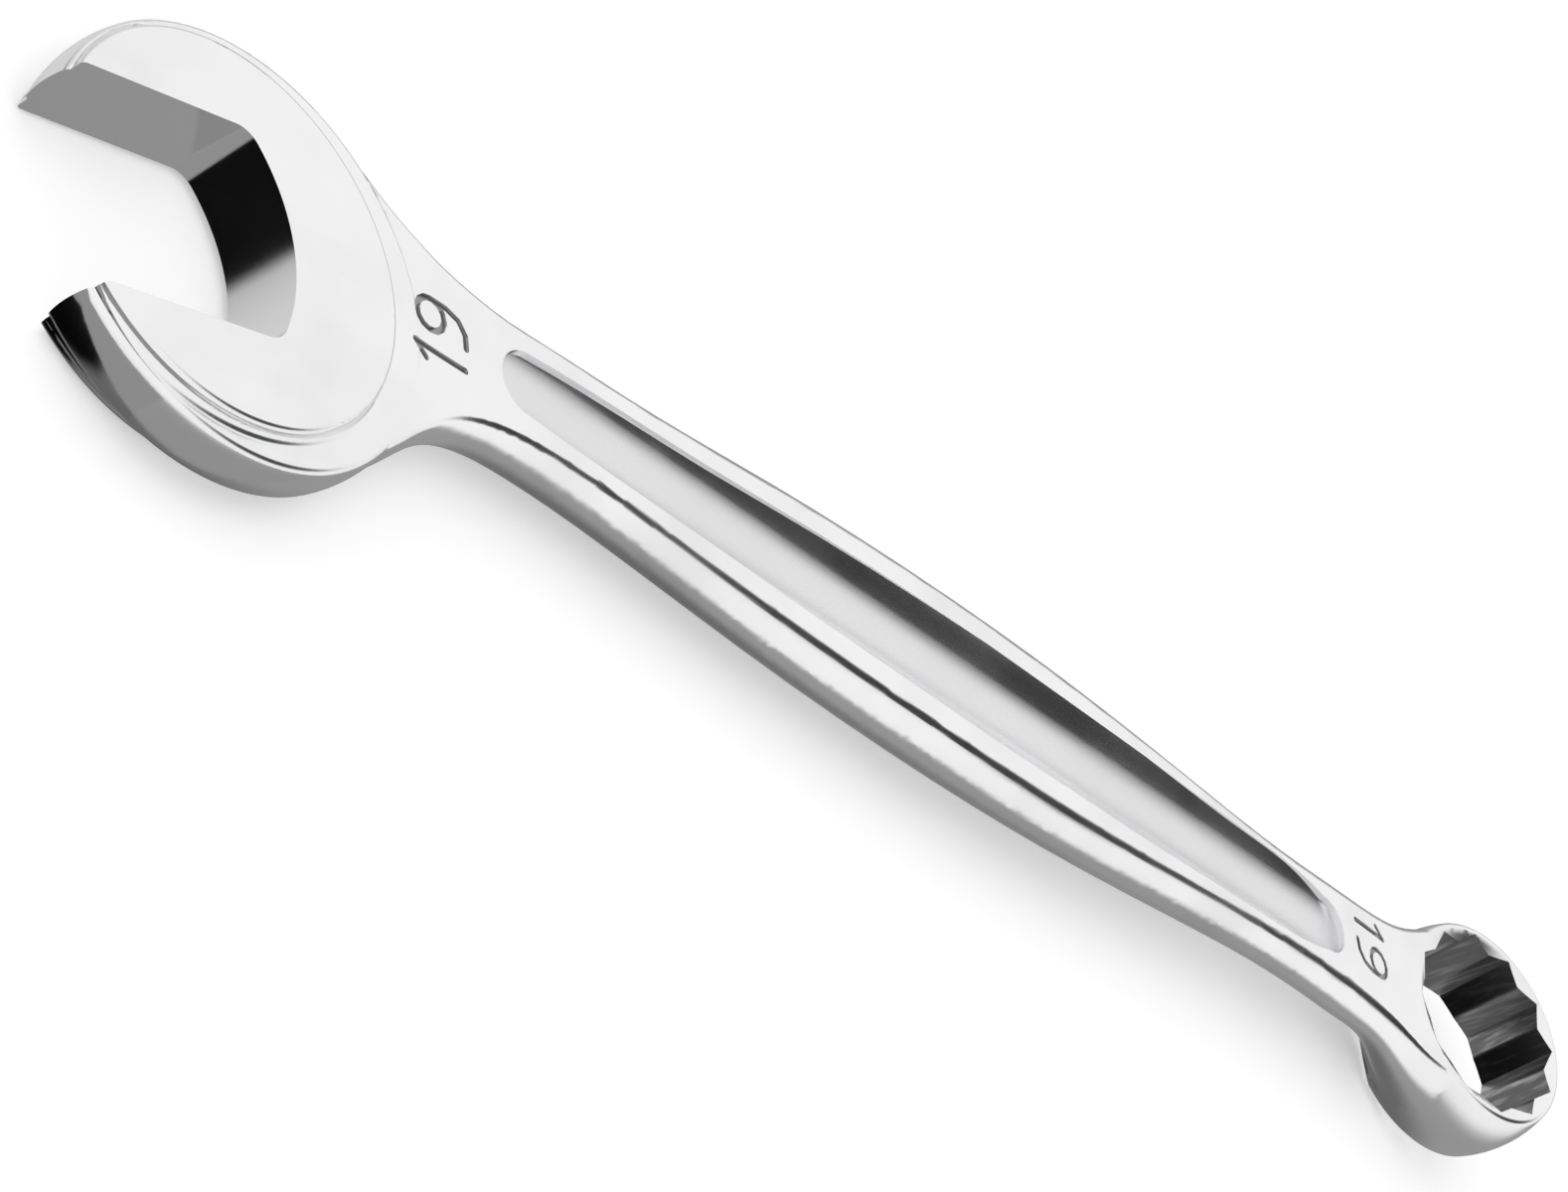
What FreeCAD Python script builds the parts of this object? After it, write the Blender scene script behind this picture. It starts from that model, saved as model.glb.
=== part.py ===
import FreeCAD, Part
import math
import os

os.makedirs("parts", exist_ok=True)

# Combination wrench: open jaws at one end, twelve-point ring at the other, one forging.
# Drawing frame in millimetres: X runs along the shank from the jaws to the ring,
# Y = 0 is the shank centre line, Z = 0 is the middle of the shank thickness,
# and X = 0 is level with the centre of the throat arc.

# fit to the nut
nut_size = 19.0            # across flats of the nut both ends turn
jaw_clearance = 0.25       # jaw faces apart beyond the nut size
ring_clearance = 0.2       # ring flats apart beyond the nut size

# open-end head
jaw_angle = 15.0           # jaws turned off the shank line, degrees
throat_radius = 16.4       # shallow arc at the bottom of the jaws
throat_corner = 2.5        # fillet between a jaw face and the throat arc
jaw_shift = -7.3           # throat arc centre to the side of the shank line
head_radius = 19.6         # rim of the head at its upper and lower edges
head_bulge = 0.4           # extra radius of the rim at mid thickness
head_back = 12.4           # head centre behind the throat arc centre, along the jaws
head_side = -0.5           # head centre to the side of the jaw line
rim_thickness = 5.1
pad_radius = 17.6          # raised round pad on each face of the head
pad_back = 10.3
pad_side = -0.3
pad_thickness = 7.8
pad_edge = 0.55            # rounding of the pad's upper edge
pad_foot = 0.75             # hollow fillet where the pad meets the rim

# ring head
ring_distance = 198.8      # throat arc centre to ring centre
ring_drop = -1.25          # ring centre above the shank middle plane
ring_tilt = 9.0            # far side of the ring raised, degrees
ring_thickness = 10.4
ring_radius = 12.85        # at the fullest part of the barrel side
ring_edge_radius = 11.9    # at the upper and lower faces
ring_low_rounding = 0.8    # of the outer edge at the lower face
ring_lead_in = 0.5         # chamfer depth at each mouth of the hole
ring_lip = 0.15            # chamfer mouth wider than the hole corners
ring_points = 12
heel_relief_start = (-17.0, -4.25)    # underside slope into the ring: back from its centre, height
heel_relief_end = 9.2      # out from the ring axis, where the slope meets the lower face

# rounding along the long edges of the forging
crease = 0.45

# shank stations: top z, bottom z, then the four half widths
# (flats on +Y, flats on -Y, side bulge on +Y, side bulge on -Y)
# from the open-end head, x measured from the throat centre
head_neck = [
    (22.0, 2.40, -2.40, 11.2, 18.2, 11.7, 18.7),
    (25.0, 2.45, -2.45, 10.6, 17.7, 11.2, 18.3),
    (28.0, 2.45, -2.45, 9.0, 15.8, 9.7, 16.5),
    (30.5, 2.50, -2.50, 7.9, 13.3, 8.6, 14.1),
    (33.0, 2.50, -2.50, 7.0, 10.6, 7.8, 11.5),
    (37.0, 2.60, -2.60, 6.0, 7.6, 6.9, 8.6),
    (41.0, 2.70, -2.70, 5.5, 6.2, 6.5, 7.2),
    (46.0, 2.80, -2.80, 5.5, 5.6, 6.6, 6.7),
]
# along the grip, x as a share of the way between the two necks
grip = [
    (0.12, 2.90, -2.90, 5.9, 5.9, 7.2, 7.2),
    (0.26, 3.10, -3.10, 6.9, 6.9, 8.6, 8.6),
    (0.45, 3.30, -3.30, 7.8, 7.8, 9.5, 9.5),
    (0.65, 3.20, -3.20, 7.6, 7.6, 9.4, 9.4),
    (0.84, 3.00, -3.00, 6.4, 6.4, 7.8, 7.8),
]
# into the ring, x measured back from the ring centre; the last number draws the lower edge in
ring_neck = [
    (-36.8, 2.80, -2.80, 5.3, 5.3, 6.8, 6.8),
    (-28.0, 2.65, -2.85, 5.4, 5.4, 6.9, 6.9),
    (-21.5, 2.40, -3.15, 5.7, 5.8, 7.1, 7.2, 0.5),
    (-16.5, 2.15, -4.10, 6.4, 6.7, 7.7, 8.0, 2.2),
    (-12.3, 2.05, -5.80, 7.5, 7.9, 8.8, 9.2, 2.8),
    (-8.5, 2.50, -7.10, 8.9, 9.0, 10.1, 10.2, 1.4),
    (-4.5, 3.10, -6.90, 10.8, 10.8, 11.9, 11.9, 0.0),
]

# shank pocket, the same on both faces; widths given along its length as shares
pocket_start = 40.9
pocket_end_back = 28.2     # end of the pocket, back from the ring centre
pocket_floor = 1.35        # lowest line of the floor above the middle plane
pocket_corner = 3.3        # length of the rounded ends
pocket_dish = 8.5          # the floor is hollow across the shank, to this radius
pocket_end_width = 6.5
pocket_widths = [(0.07, 7.2), (0.19, 8.2), (0.30, 9.5), (0.44, 10.5),
                 (0.58, 10.9), (0.72, 10.3), (0.86, 9.2), (0.95, 7.9)]

# size numbers pressed into the upper face
mark_height = 5.8
mark_width = 3.2
mark_line = 0.65
mark_depth = 0.35
mark_gap = 0.7
open_mark_at = 33.8
open_mark_side = -0.9
ring_mark_back = 22.3
ring_mark_side = 1.3

# where the forging is divided into its three regions
head_cut = 39.0
ring_cut_back = 27.0

vec = FreeCAD.Vector
up = vec(0, 0, 1)
jaw_opening = nut_size + jaw_clearance
ring_opening = nut_size + ring_clearance
jaw_dir = vec(math.cos(math.radians(jaw_angle)), math.sin(math.radians(jaw_angle)), 0)
jaw_side = vec(-jaw_dir.y, jaw_dir.x, 0)
throat_centre = vec(0, jaw_shift, 0)
tilt = math.radians(ring_tilt)
ring_axis = vec(-math.sin(tilt), 0, math.cos(tilt))
ring_out = vec(math.cos(tilt), 0, math.sin(tilt))
ring_centre = vec(ring_distance, 0, ring_drop)


def jaw_point(back, side, height=0.0):
    """A point given along the jaw line (positive toward the shank) and across it."""
    return throat_centre + jaw_dir * back + jaw_side * side + up * height


def ring_point(out, height):
    """A point in the ring's own upright cross-section."""
    return ring_centre + ring_out * out + ring_axis * height


def arc(first, middle, last):
    return Part.Arc(first, middle, last).toShape()


def line(first, last):
    return Part.makeLine(first, last)


def full_side(place, flat, full, top, low, low_rounding=crease, draw_in=0.0):
    """Three arcs down a swelling side: rounded upper edge, full side, rounded lower edge.
    place turns an outward distance and a height into a point."""
    half = (top - low) / 2.0
    middle = (top + low) / 2.0
    swell = full - flat
    radius = (half ** 2 + swell ** 2) / (2.0 * swell)
    spots = []
    for edge, sign, rounding, inward in ((top, 1, crease, 0.0), (low, -1, low_rounding, draw_in)):
        shoulder = full - radius + math.sqrt(radius ** 2 - (half - rounding) ** 2)
        inner = (flat - rounding - inward, edge)
        outer = (shoulder - inward, edge - sign * rounding)
        between = ((inner[0] + outer[0]) / 2.0, (inner[1] + outer[1]) / 2.0)
        bend = (between[0] + 0.42 * (flat - inward - between[0]), between[1] + 0.42 * (edge - between[1]))
        spots.append([place(*spot) for spot in (inner, bend, outer)])
    upper, lower = spots
    edges = [arc(*upper), arc(upper[2], place(full, middle), lower[2]), arc(lower[2], lower[1], lower[0])]
    return upper[0], lower[0], edges


def barrel(centre, axis, across, edge_radius, full_radius, thickness, low_rounding=crease):
    """A disc whose side swells from the edge radius to the full radius at mid height."""
    half = thickness / 2.0

    def place(out, height):
        return centre + across * out + axis * height

    top, low, edges = full_side(place, edge_radius, full_radius, half, -half, low_rounding)
    outline = [line(place(0, half), top)] + edges + [line(low, place(0, -half))]
    outline.append(line(place(0, -half), place(0, half)))
    return Part.Face(Part.Wire(outline)).revolve(centre, axis, 360)


def section(x, top, low, flat_up, flat_down, full_up, full_down, draw_in=0.0):
    """One upright cross-section of the shank: two flats joined by two full sides."""
    up_top, up_low, up_edges = full_side(lambda out, z: vec(x, out, z), flat_up, full_up,
                                         top, low, crease, draw_in)
    down_top, down_low, down_edges = full_side(lambda out, z: vec(x, -out, z), flat_down, full_down,
                                               top, low, crease, draw_in)
    return Part.Wire([line(up_top, down_top)] + down_edges + [line(down_low, up_low)] + up_edges[::-1])


def jaw_slot():
    """The gap between the jaws: two flats, two corner fillets and the throat arc."""
    half = jaw_opening / 2.0
    fillet_side = half - throat_corner
    fillet_back = math.sqrt((throat_radius - throat_corner) ** 2 - fillet_side ** 2)
    scale = throat_radius / (throat_radius - throat_corner)
    turn = math.atan2(fillet_side, fillet_back)
    bend = turn + (math.pi / 2 - turn) / 2
    reach = -2.0 * head_radius
    base = -pad_thickness

    def corner(sign):
        flat_end = jaw_point(fillet_back, sign * half, base)
        middle = jaw_point(fillet_back + throat_corner * math.cos(bend),
                           sign * (fillet_side + throat_corner * math.sin(bend)), base)
        arc_end = jaw_point(fillet_back * scale, sign * fillet_side * scale, base)
        return flat_end, middle, arc_end

    upper = corner(1)
    lower = corner(-1)
    outline = Part.Wire([
        line(jaw_point(reach, half, base), upper[0]),
        arc(*upper),
        arc(upper[2], jaw_point(throat_radius, 0, base), lower[2]),
        arc(lower[2], lower[1], lower[0]),
        line(lower[0], jaw_point(reach, -half, base)),
        line(jaw_point(reach, -half, base), jaw_point(reach, half, base)),
    ])
    return Part.Face(outline).extrude(up * (2 * pad_thickness))


def pad():
    """The raised disc through both faces of the head, with rounded rim and hollow foot."""
    centre = jaw_point(pad_back, pad_side)
    top = pad_thickness / 2.0
    foot = rim_thickness / 2.0
    knee = math.sqrt(0.5)

    def place(out, height):
        return centre + vec(out, 0, height)

    def half_side(sign):
        rim = pad_radius - pad_edge
        hollow = pad_radius + pad_foot
        return [
            (place(rim, sign * top), place(rim + pad_edge * knee, sign * (top - pad_edge * (1 - knee))),
             place(pad_radius, sign * (top - pad_edge))),
            (place(pad_radius, sign * (foot + pad_foot)),
             place(hollow - pad_foot * knee, sign * (foot + pad_foot * (1 - knee))),
             place(hollow, sign * foot)),
        ]

    upper = half_side(1)
    lower = half_side(-1)
    outline = Part.Wire([
        line(place(0, top), upper[0][0]),
        arc(*upper[0]),
        line(upper[0][2], upper[1][0]),
        arc(*upper[1]),
        line(upper[1][2], lower[1][2]),
        arc(*lower[1][::-1]),
        line(lower[1][0], lower[0][2]),
        arc(*lower[0][::-1]),
        line(lower[0][0], place(0, -top)),
        line(place(0, -top), place(0, top)),
    ])
    disc = Part.Face(outline).revolve(centre, up, 360)
    trim = Part.makeCylinder(head_radius - crease / 2.0, 2 * pad_thickness,
                             jaw_point(head_back, head_side, -pad_thickness))
    return disc.common(trim)


def ring_hole():
    """Two hexagons, one turned by half a step, through a chamfered mouth at each face."""
    corner = ring_opening / 2.0 / math.cos(math.pi / 6)
    valley = ring_opening / 2.0 / math.cos(math.pi / 12)
    half = ring_thickness / 2.0
    cutter = None
    for turn in (0, 2 * math.pi / ring_points):
        corners = []
        for step in range(7):
            angle = turn + step * math.pi / 3
            spot = ring_out * (corner * math.cos(angle)) + vec(0, corner * math.sin(angle), 0)
            corners.append(ring_centre + spot - ring_axis * ring_thickness)
        prism = Part.Face(Part.makePolygon(corners)).extrude(ring_axis * (2 * ring_thickness))
        cutter = prism if cutter is None else cutter.fuse(prism)
    wide = corner + ring_lip
    for sign in (1, -1):
        inner = ring_centre + ring_axis * (sign * (half - ring_lead_in))
        cone = Part.makeCone(valley, 2 * wide - valley, 2 * ring_lead_in, inner, ring_axis * sign)
        cutter = cutter.fuse(cone)
    return cutter


def heel_relief():
    """What the underside slope takes off the ring's heel."""
    start = vec(ring_distance + heel_relief_start[0], -ring_distance, heel_relief_start[1])
    end = ring_point(-heel_relief_end, -ring_thickness / 2.0)
    end.y = start.y
    depth = up * (2 * ring_thickness)
    side = Part.Face(Part.makePolygon([start, end, end - depth, start - depth, start]))
    return side.extrude(vec(0, 2 * ring_distance, 0))


def pocket(sign):
    """The long recess: side edges bowed with the shank, round ends, hollow floor."""
    level = sign * pocket_floor
    start = pocket_start
    end = ring_distance - pocket_end_back
    half_end = pocket_end_width / 2.0
    left = start + pocket_corner
    right = end - pocket_corner
    bowed = [(start + share * (end - start), width / 2.0) for share, width in pocket_widths]
    upper = [vec(left, half_end, level)] + [vec(x, y, level) for x, y in bowed] + [vec(right, half_end, level)]
    lower = [vec(spot.x, -spot.y, level) for spot in reversed(upper)]
    top_edge = Part.BSplineCurve()
    top_edge.interpolate(upper)
    low_edge = Part.BSplineCurve()
    low_edge.interpolate(lower)
    outline = Part.Wire([
        top_edge.toShape(),
        arc(upper[-1], vec(end, 0, level), lower[0]),
        low_edge.toShape(),
        arc(lower[-1], vec(start, 0, level), upper[0]),
    ])
    room = Part.Face(outline).extrude(up * (sign * 3.5))
    dish_axis = level + sign * pocket_dish
    return room.common(Part.makeCylinder(pocket_dish, end - start, vec(start, 0, dish_axis), vec(1, 0, 0)))


def stroke(points, level):
    """A pressed line: a bar between each pair of points with a round end at each point."""
    shape = Part.makeCylinder(mark_line / 2.0, 3, points[0])
    for first, last in zip(points[:-1], points[1:]):
        along = last - first
        side = vec(-along.y, along.x, 0).normalize() * (mark_line / 2.0)
        corners = [first + side, last + side, last - side, first - side, first + side]
        bar = Part.Face(Part.makePolygon(corners)).extrude(up * 3)
        shape = shape.fuse(bar).fuse(Part.makeCylinder(mark_line / 2.0, 3, last))
    shape.translate(up * level)
    return shape


def nineteen(x, y, reading, surface):
    """The number 19, written along the reading direction on the upper face."""
    tall = vec(-reading.y, reading.x, 0)
    level = surface - mark_depth
    half = mark_height / 2.0
    loop = mark_width / 2.0

    def spot(across, rise):
        return vec(x, y, 0) + reading * across + tall * rise

    one_at = -(mark_gap + mark_width) / 2.0
    one = [spot(one_at - 1.1, half - 1.3), spot(one_at, half), spot(one_at, -half)]
    nine_at = (mark_gap + mark_width) / 2.0 - 0.3
    bowl = [spot(nine_at + loop * math.cos(math.radians(a)), half - loop + loop * math.sin(math.radians(a)))
            for a in range(0, 361, 30)]
    tail = [spot(nine_at + loop, half - loop), spot(nine_at + loop, -half * 0.15),
            spot(nine_at + loop * 0.7, -half * 0.65), spot(nine_at, -half * 0.95),
            spot(nine_at - loop * 0.8, -half)]
    return stroke(one, level).fuse(stroke(bowl, level)).fuse(stroke(tail, level))


grip_start = head_neck[-1][0]
grip_end = ring_distance + ring_neck[0][0]
stations = list(head_neck)
stations += [(grip_start + s[0] * (grip_end - grip_start),) + s[1:] for s in grip]
stations += [(ring_distance + s[0],) + s[1:] for s in ring_neck]
shank_bar = Part.makeLoft([section(*s) for s in stations], True, False)
rim = barrel(jaw_point(head_back, head_side), up, vec(1, 0, 0),
             head_radius, head_radius + head_bulge, rim_thickness)
ring_body = barrel(ring_centre, ring_axis, ring_out, ring_edge_radius, ring_radius, ring_thickness,
                   ring_low_rounding)
wrench = rim.fuse(pad()).fuse(shank_bar).fuse(ring_body)
wrench = wrench.cut(heel_relief()).cut(jaw_slot()).cut(ring_hole())
for side in (1, -1):
    wrench = wrench.cut(pocket(side))
wrench = wrench.cut(nineteen(open_mark_at, open_mark_side, vec(0, 1, 0), head_neck[4][1]))
wrench = wrench.cut(nineteen(ring_distance - ring_mark_back, ring_mark_side, vec(0, -1, 0), ring_neck[2][1]))


def region(x_start, x_end):
    slab = Part.makeBox(x_end - x_start, 120, 120, vec(x_start, -60, -60))
    return wrench.common(slab)


ring_cut = ring_distance - ring_cut_back
pieces = {
    "open_end_head": region(-60.0, head_cut),
    "shank": region(head_cut, ring_cut),
    "ring_head": region(ring_cut, ring_distance + 60.0),
}

# the wrench lies on a table: jaw tips and the heel of the ring touch it,
# and the middle of the underside of its outline is the origin
heel = ring_point(-heel_relief_end, -ring_thickness / 2.0)
tip_run = math.sqrt((pad_radius - pad_edge) ** 2 - (jaw_opening / 2.0 + pad_side) ** 2)
tip = jaw_point(pad_back - tip_run, -jaw_opening / 2.0, -pad_thickness / 2.0)
lie_angle = math.degrees(math.atan2(tip.z - heel.z, heel.x - tip.x))
wrench.rotate(vec(0, 0, 0), vec(0, 1, 0), -lie_angle)
spots = wrench.tessellate(0.02)[0]
low_corner = vec(min(p.x for p in spots), min(p.y for p in spots), min(p.z for p in spots))
high_corner = vec(max(p.x for p in spots), max(p.y for p in spots), max(p.z for p in spots))
middle = (low_corner + high_corner) / 2.0
set_down = vec(-middle.x, -middle.y, -low_corner.z)

for name, shape in pieces.items():
    print(name, "solids", len(shape.Solids))
    shape = shape.Solids[0]
    shape.rotate(vec(0, 0, 0), vec(0, 1, 0), -lie_angle)
    shape.translate(set_down)
    shape.exportStep("parts/" + name + ".step")
    print(name, "valid", shape.isValid(), "volume", round(shape.Volume, 1))
print("lies at", round(lie_angle, 4), "degrees, set down by", set_down)
print("overall", high_corner - low_corner)
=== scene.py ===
import bmesh
import bpy
import math
from mathutils import Vector, Matrix


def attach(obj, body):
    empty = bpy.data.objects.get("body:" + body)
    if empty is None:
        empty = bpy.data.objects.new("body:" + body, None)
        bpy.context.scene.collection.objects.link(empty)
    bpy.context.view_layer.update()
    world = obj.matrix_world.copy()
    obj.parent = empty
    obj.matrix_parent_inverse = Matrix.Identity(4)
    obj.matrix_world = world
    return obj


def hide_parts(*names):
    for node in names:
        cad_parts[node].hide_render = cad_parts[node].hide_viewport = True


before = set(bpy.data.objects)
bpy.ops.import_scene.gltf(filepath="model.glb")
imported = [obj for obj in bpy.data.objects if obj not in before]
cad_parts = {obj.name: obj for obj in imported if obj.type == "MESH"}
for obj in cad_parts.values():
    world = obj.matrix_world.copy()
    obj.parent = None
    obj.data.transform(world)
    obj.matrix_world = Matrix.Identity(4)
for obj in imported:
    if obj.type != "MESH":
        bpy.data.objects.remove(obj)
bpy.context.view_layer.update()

print("wrench frame loaded")

# camera: low three-quarter view from the open jaws, rolled so the shank falls to the right
viewpoint = {
    "spot": (-0.24057, -0.19031, 0.17621),
    "aim": (-0.02428, 0.00056, 0.008),
    "roll": -64.427,      # degrees
    "lens": 85.317, "sensor": 36,      # mm
    "near": 0.01, "far": 20,           # m
}


def placeCamera(v):
    data = bpy.data.cameras.new("camera")
    data.lens = v["lens"]
    data.sensor_width = v["sensor"]
    data.clip_start = v["near"]
    data.clip_end = v["far"]
    cam = bpy.data.objects.new("camera", data)
    bpy.context.collection.objects.link(cam)
    spot, aim = Vector(v["spot"]), Vector(v["aim"])
    turn = (aim - spot).to_track_quat("-Z", "Y").to_matrix()
    roll = Matrix.Rotation(math.radians(-v["roll"]), 3, "Z")
    cam.location = spot
    cam.rotation_mode = "QUATERNION"
    cam.rotation_quaternion = (turn @ roll).to_quaternion()
    bpy.context.scene.camera = cam


placeCamera(viewpoint)
bpy.context.scene.view_settings.view_transform = "Standard"
print("camera placed")


# wraps a socket, so shader maths reads as ordinary expressions
class Wire:
    def __init__(self, tree, socket=None):
        self.tree = tree
        self.socket = socket

    # any node: its type, its settings, its socket values or links, and which output to use
    def node(self, kind, settings=None, inputs=None, output=0):
        made = self.tree.nodes.new(kind)
        for name, value in (settings or {}).items():
            setattr(made, name, value)
        for key, value in (inputs or {}).items():
            if isinstance(value, Wire):
                self.tree.links.new(value.socket, made.inputs[key])
            else:
                made.inputs[key].default_value = value
        return Wire(self.tree, made.outputs[output])

    def maths(self, operation, first, second=0.0):
        return self.node("ShaderNodeMath", {"operation": operation}, {0: first, 1: second})

    def __add__(self, other):
        return self.maths("ADD", self, other)

    def __radd__(self, other):
        return self.maths("ADD", other, self)

    def __sub__(self, other):
        return self.maths("SUBTRACT", self, other)

    def __rsub__(self, other):
        return self.maths("SUBTRACT", other, self)

    def __mul__(self, other):
        return self.maths("MULTIPLY", self, other)

    def __rmul__(self, other):
        return self.maths("MULTIPLY", other, self)

    def __abs__(self):
        return self.maths("ABSOLUTE", self)

    def root(self):
        return self.node("ShaderNodeMath", {"operation": "SQRT"}, {0: self})

    # soft step from 0 at low to 1 at high (or the other way when low is larger)
    def ramp(self, low, high):
        return self.node("ShaderNodeMapRange", {"interpolation_type": "SMOOTHSTEP"},
                         {"Value": self, "From Min": low, "From Max": high})

    # how nearly this direction points at the aim, 1 when it does
    def toward(self, aim):
        return self.node("ShaderNodeVectorMath", {"operation": "DOT_PRODUCT"},
                         {0: self, 1: Vector(aim).normalized()}, "Value")

    def parts(self):
        made = self.node("ShaderNodeSeparateXYZ", None, {0: self}).socket.node
        return [Wire(self.tree, out) for out in made.outputs]

    # fine noise stretched by the given scales
    def grain(self, scales, detail=2.0):
        spread = self.node("ShaderNodeVectorMath", {"operation": "MULTIPLY"}, {0: self, 1: scales})
        return self.node("ShaderNodeTexNoise", None,
                         {"Vector": spread, "Scale": 1.0, "Detail": detail}, "Fac")

    # colour mix: first where this is 0, second where it is 1
    def blend(self, first, second):
        return self.node("ShaderNodeMix", {"data_type": "RGBA"}, {0: self, 6: first, 7: second}, 2)


# studio: a white tent with one dark card high on the ring side, a grey table level,
# a dark patch low in front of the jaws, and grey cards that keep the outside of the jaws out of it
studio = {
    "tentLight": 0.95,
    "cardAim": (0.66, -0.16, 0.74), "cardRadius": 20, "cardSoft": 6, "cardTone": 0.03,
    "lowAim": (-0.75, -0.28, -0.60), "lowRadius": 37, "lowSoft": 5, "lowTone": 0.015,
    "groundTone": 0.32, "groundLift": 0.40, "liftAcross": (-0.1, 0.8), "liftAlong": (0.2, 0.6),
    "nadirTone": 0.45, "nadirSpan": (-0.85, -0.55),
    "horizon": -0.34, "horizonLift": 0.42, "horizonAcross": (-0.2, 0.5), "horizonSoft": 0.22,
    "sideCards": [((-0.17, -0.06), (-0.1135, 0.06)), ((-0.1135, -0.06), (-0.05, -0.0215))],
    "sideCardLevel": -0.0006, "sideCardColour": (0, 0, 0, 1), "sideCardGlow": 0.30,
    "floorSize": 3.0, "floorLevel": -0.0003, "floorColour": (0.86, 0.86, 0.86, 1), "floorGlow": 0.34,
    "sheetRoughness": 0.9,
}


def buildTent(s):
    world = bpy.data.worlds.new("white_tent")
    bpy.context.scene.world = world
    world.use_nodes = True
    tree = world.node_tree
    base = Wire(tree)
    way = base.node("ShaderNodeTexCoord", None, None, "Generated")
    x, y, z = way.parts()

    def patch(name):
        inner = math.cos(math.radians(s[name + "Radius"] - s[name + "Soft"]))
        outer = math.cos(math.radians(s[name + "Radius"] + s[name + "Soft"]))
        return 1 - (1 - s[name + "Tone"]) * way.toward(s[name + "Aim"]).ramp(outer, inner)

    high = s["tentLight"] * patch("card")
    lift = s["groundLift"] * y.ramp(*s["liftAcross"]) * (1 - x.ramp(*s["liftAlong"]))
    nadir = s["nadirTone"] + (1 - s["nadirTone"]) * z.ramp(*s["nadirSpan"])
    ground = (s["groundTone"] + lift) * nadir * patch("low")
    horizon = s["horizonLift"] * y.ramp(*s["horizonAcross"]) + s["horizon"]
    tone = ground + (high - ground) * (z - horizon).ramp(0.0, s["horizonSoft"])
    tree.links.new(tone.socket, tree.nodes["Background"].inputs["Strength"])
    tree.nodes["Background"].inputs["Color"].default_value = (1, 1, 1, 1)


buildTent(studio)


def flatSheet(name, low, high, level, colour, glow):
    corners = [(low[0], low[1]), (high[0], low[1]), (high[0], high[1]), (low[0], high[1])]
    mesh = bpy.data.meshes.new(name)
    mesh.from_pydata([(x, y, level) for x, y in corners], [], [(0, 1, 2, 3)])
    sheet = bpy.data.objects.new(name, mesh)
    bpy.context.collection.objects.link(sheet)
    paint = bpy.data.materials.new(name + "_paint")
    paint.use_nodes = True
    shader = paint.node_tree.nodes["Principled BSDF"].inputs
    shader["Base Color"].default_value = colour
    shader["Roughness"].default_value = studio["sheetRoughness"]
    shader["Specular IOR Level"].default_value = 0.0
    shader["Emission Color"].default_value = (1, 1, 1, 1)
    shader["Emission Strength"].default_value = glow
    mesh.materials.append(paint)
    return sheet


half = studio["floorSize"] / 2
tableTop = flatSheet("table_top", (-half, -half), (half, half), studio["floorLevel"],
                     studio["floorColour"], studio["floorGlow"])
tableTop.visible_glossy = False      # the metal sees the tent's grey table level instead
for number, (low, high) in enumerate(studio["sideCards"], 1):
    sideCard = flatSheet("side_card_%d" % number, low, high, studio["sideCardLevel"],
                         studio["sideCardColour"], studio["sideCardGlow"])
    sideCard.visible_camera = False      # only the metal sees these
    sideCard.visible_diffuse = False
    sideCard.visible_shadow = False
print("studio ready")

mmPerMetre = 1000

# where the drawing frame of the wrench sits, and the places in it that get their own finish
layout = {
    "lie": 1.1719,                                # degrees
    "setDown": (-0.102244, 0.004573, 0.004021),   # m
    "throatSide": -7.3,                           # mm, like all lengths that follow
    "throatReach": 17.2,
    "ringAt": 198.8, "ringDrop": -1.25, "ringTilt": 9.0, "holeReach": 11.25,
    "openMark": (33.8, -0.9, 2.36), "ringMark": (176.5, 1.3, 2.22), "markReach": 4.3,
    "markSoft": 0.08, "markSpan": (0.5, 1.0),     # the numbers are on the upper face only
    "pocketSpan": (40.5, 171.0), "pocketSide": 5.6, "pocketDepth": 2.05,
    "regionEnds": (39.0, 171.8),                  # where the forging's three regions meet
    "steepSpan": (0.45, 0.25), "boreTilt": (0.60, 0.40),      # tilt of a face, 0 for an upright wall
    "edgeSoft": 0.3, "boreSoft": 0.15, "pocketEndSoft": 0.5, "shankSoft": 6,
}

# chrome plate over forged steel
chrome = {
    "colour": (0.93, 0.93, 0.935, 1),
    "cloudy": (0.84, 0.84, 0.85, 1),
    "cut": (0.86, 0.86, 0.865, 1),          # jaw faces, cut to size before plating
    "bore": (0.30, 0.30, 0.305, 1),         # broached ring hole, coloured dark grey inside
    "boreStreak": (0.62, 0.62, 0.63, 1),
    "numberShade": (0.36, 0.36, 0.365, 1),         # painted shade: a darker colour standing in for the shade inside the pressed numbers
    "pocket": (0.80, 0.80, 0.81, 1),
    "roughness": 0.15, "roughSpread": 0.07, "fineRough": 0.05,
    "pocketRough": 0.09, "cutRough": -0.07, "boreRough": 0.12, "markRough": 0.2,      # added to the roughness
    "cloudScale": (70, 70, 70), "cloudSpan": (0.35, 0.80), "cloudRoughSpan": (0.3, 0.8),
    "evenScale": (3500, 3500, 3500), "drawnScale": (700, 5000, 5000),
    "broachScale": (1500, 1500, 60), "broachSpan": (0.45, 0.75), "broachHeight": 2,
    "grainDepth": 0.000012, "grainStrength": 0.10,
    "dentScale": (260, 260, 260), "dentDepth": 0.00004, "dentStrength": 0.05,
}


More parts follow.
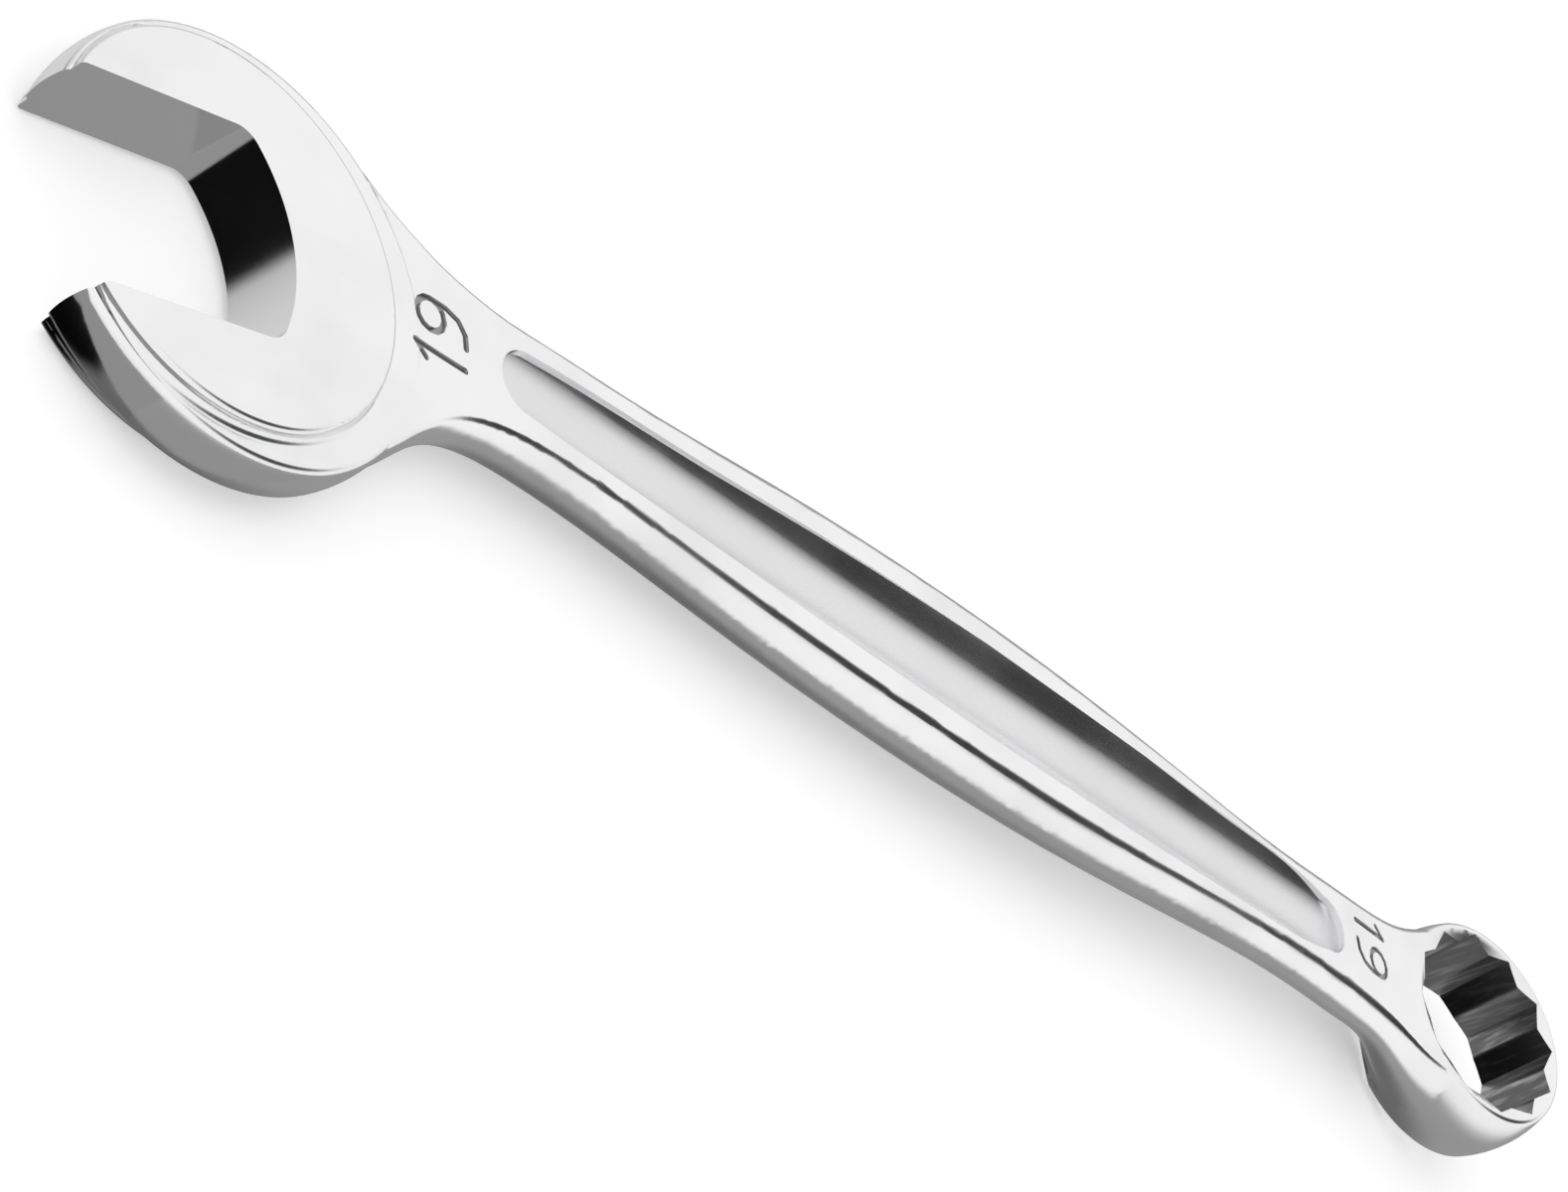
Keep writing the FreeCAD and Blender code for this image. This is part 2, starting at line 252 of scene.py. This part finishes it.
# object coordinates, and the same turned back to the drawing frame in mm
def drawnSpot(base, lay):
    spot = base.node("ShaderNodeTexCoord", None, None, "Object")
    x, y, z = spot.parts()
    lie = math.radians(lay["lie"])
    x, y, z = [(axis - shift) * mmPerMetre for axis, shift in zip((x, y, z), lay["setDown"])]
    return spot, x * math.cos(lie) + z * math.sin(lie), y, z * math.cos(lie) - x * math.sin(lie)


# 1 where a value lies no further than reach from the centre
def within(value, centre, reach, soft):
    return abs(value - centre).ramp(reach, reach - soft)


def plate(name, c, lay):
    paint = bpy.data.materials.new(name)
    paint.use_nodes = True
    tree = paint.node_tree
    shader = tree.nodes["Principled BSDF"]
    base = Wire(tree)
    spot, x, y, z = drawnSpot(base, lay)
    facing = base.node("ShaderNodeNewGeometry", None, None, "Normal")
    tilt = abs(facing.parts()[2])

    # surface breakup
    cloud = spot.grain(c["cloudScale"], 3)
    even = spot.grain(c["evenScale"])
    drawn = spot.grain(c["drawnScale"])      # polished along the shank
    low, high = lay["regionEnds"]
    soft = lay["shankSoft"]
    onShank = x.ramp(low - soft, low + soft) * x.ramp(high + soft, high - soft)
    fine = even + (drawn - even) * onShank
    dents = spot.grain(c["dentScale"], 1)

    # cut faces between the jaws
    aside = y - lay["throatSide"]
    fromThroat = (x * x + aside * aside).root()
    cut = fromThroat.ramp(lay["throatReach"], lay["throatReach"] - lay["edgeSoft"])
    cut = cut * tilt.ramp(*lay["steepSpan"])

    # broached hole of the ring
    turn = math.radians(lay["ringTilt"])
    out = (x - lay["ringAt"]) * math.cos(turn) + (z - lay["ringDrop"]) * math.sin(turn)
    fromRing = (out * out + y * y).root()
    bore = fromRing.ramp(lay["holeReach"], lay["holeReach"] - lay["boreSoft"])
    bore = bore * tilt.ramp(*lay["boreTilt"])
    broach = spot.grain(c["broachScale"])

    # pressed size numbers, where shade is painted into the recesses
    def numberShade(middleX, middleY, level):
        square = within(x, middleX, lay["markReach"], lay["edgeSoft"])
        square = square * within(y, middleY, lay["markReach"], lay["edgeSoft"])
        return square * z.ramp(level, level - lay["markSoft"]) * z.ramp(*lay["markSpan"])

    pressedShade = numberShade(*lay["openMark"]) + numberShade(*lay["ringMark"])

    # shank pocket floors
    low, high = lay["pocketSpan"]
    pocket = within(x, (low + high) / 2, (high - low) / 2, lay["pocketEndSoft"])
    pocket = pocket * within(y, 0.0, lay["pocketSide"], lay["edgeSoft"])
    pocket = pocket * abs(z).ramp(lay["pocketDepth"], lay["pocketDepth"] - lay["edgeSoft"])

    tone = cloud.ramp(*c["cloudSpan"]).blend(c["colour"], c["cloudy"])
    tone = pocket.blend(tone, c["pocket"])
    tone = cut.blend(tone, c["cut"])
    tone = bore.blend(tone, broach.ramp(*c["broachSpan"]).blend(c["bore"], c["boreStreak"]))
    # painted shade: the pressed numbers take a darker colour for the shade in their recesses
    tone = pressedShade.blend(tone, c["numberShade"])
    rough = c["roughness"] + c["roughSpread"] * cloud.ramp(*c["cloudRoughSpan"]) + c["fineRough"] * fine
    rough = rough + c["pocketRough"] * pocket + c["cutRough"] * cut
    rough = rough + c["boreRough"] * bore + c["markRough"] * pressedShade
    tree.links.new(tone.socket, shader.inputs["Base Color"])
    tree.links.new(rough.socket, shader.inputs["Roughness"])
    swell = base.node("ShaderNodeBump", None,
                      {"Strength": c["dentStrength"], "Distance": c["dentDepth"], "Height": dents})
    relief = fine + c["broachHeight"] * (broach * bore)
    bump = base.node("ShaderNodeBump", None,
                     {"Strength": c["grainStrength"], "Distance": c["grainDepth"],
                      "Height": relief, "Normal": swell})
    tree.links.new(bump.socket, shader.inputs["Normal"])
    shader.inputs["Metallic"].default_value = 1.0
    return paint


# the forging as one skin: the three regions joined, their meeting faces gone, edges softened
forging = {
    "regions": ("open_end_head", "shank", "ring_head"),
    "meeting": 0.00001,      # m, how near a face lies to a cut to be its meeting face
    "weld": 0.00002,         # m
    "creaseAngle": 33,       # degrees, sharper than this stays an edge
    "jawEdgeInset": 0.0005, "jawEdgeRounding": 0.00018,      # m
    "jawEdgeSteps": 2,
    "wallTilt": 0.1, "padTilt": 0.9,      # how level a jaw wall and a pad are, from 0 to 1
}


# the long edges between the jaw faces and the pads lose their sharpness in polishing
def roundJawEdges(skin, f, lay, limit):
    skin.edges.ensure_lookup_table()
    centre = Vector((lay["setDown"][0], lay["setDown"][1] + lay["throatSide"] / mmPerMetre))
    reach = lay["throatReach"] / mmPerMetre - f["jawEdgeInset"]

    def alongJaw(edge):
        if len(edge.link_faces) != 2 or edge.calc_face_angle(0) < limit * 2:
            return False
        if any((v.co.xy - centre).length > reach for v in edge.verts):
            return False
        tilts = sorted(abs(face.normal.z) for face in edge.link_faces)
        return tilts[0] < f["wallTilt"] and tilts[1] > f["padTilt"]

    worn = [edge for edge in skin.edges if alongJaw(edge)]
    print("jaw edges rounded:", len(worn))
    bmesh.ops.bevel(skin, geom=worn, offset=f["jawEdgeRounding"], offset_type="OFFSET",
                    segments=f["jawEdgeSteps"], profile=0.5, affect="EDGES", clamp_overlap=True)


def buildForging(f, lay):
    lie = math.radians(lay["lie"])
    along = Vector((math.cos(lie), 0, math.sin(lie)))
    start = along.dot(Vector(lay["setDown"]))
    ends = [start + end / mmPerMetre for end in lay["regionEnds"]]
    skin = bmesh.new()
    for region in f["regions"]:
        skin.from_mesh(bpy.data.objects[region].data)
    skin.verts.ensure_lookup_table()
    inner = [face for face in skin.faces
             if any(all(abs(along.dot(v.co) - end) < f["meeting"] for v in face.verts) for end in ends)]
    print("meeting faces removed:", len(inner))
    bmesh.ops.delete(skin, geom=inner, context="FACES")
    bmesh.ops.remove_doubles(skin, verts=skin.verts, dist=f["weld"])
    bmesh.ops.recalc_face_normals(skin, faces=skin.faces)
    limit = math.radians(f["creaseAngle"])
    roundJawEdges(skin, f, lay, limit)
    for face in skin.faces:
        face.smooth = True
    for edge in skin.edges:
        edge.smooth = len(edge.link_faces) != 2 or edge.calc_face_angle(0) < limit
    print("open edges left:", sum(1 for edge in skin.edges if len(edge.link_faces) != 2))
    mesh = bpy.data.meshes.new("wrench_forging")
    skin.to_mesh(mesh)
    skin.free()
    body = bpy.data.objects.new("wrench_forging", mesh)
    bpy.context.collection.objects.link(body)
    even = body.modifiers.new("even_shading", "WEIGHTED_NORMAL")
    even.keep_sharp = True
    return body


wrench = buildForging(forging, layout)
wrench.data.materials.append(plate("forging_chrome", chrome, layout))
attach(wrench, "root")
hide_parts(*forging["regions"])
print("forging finished")
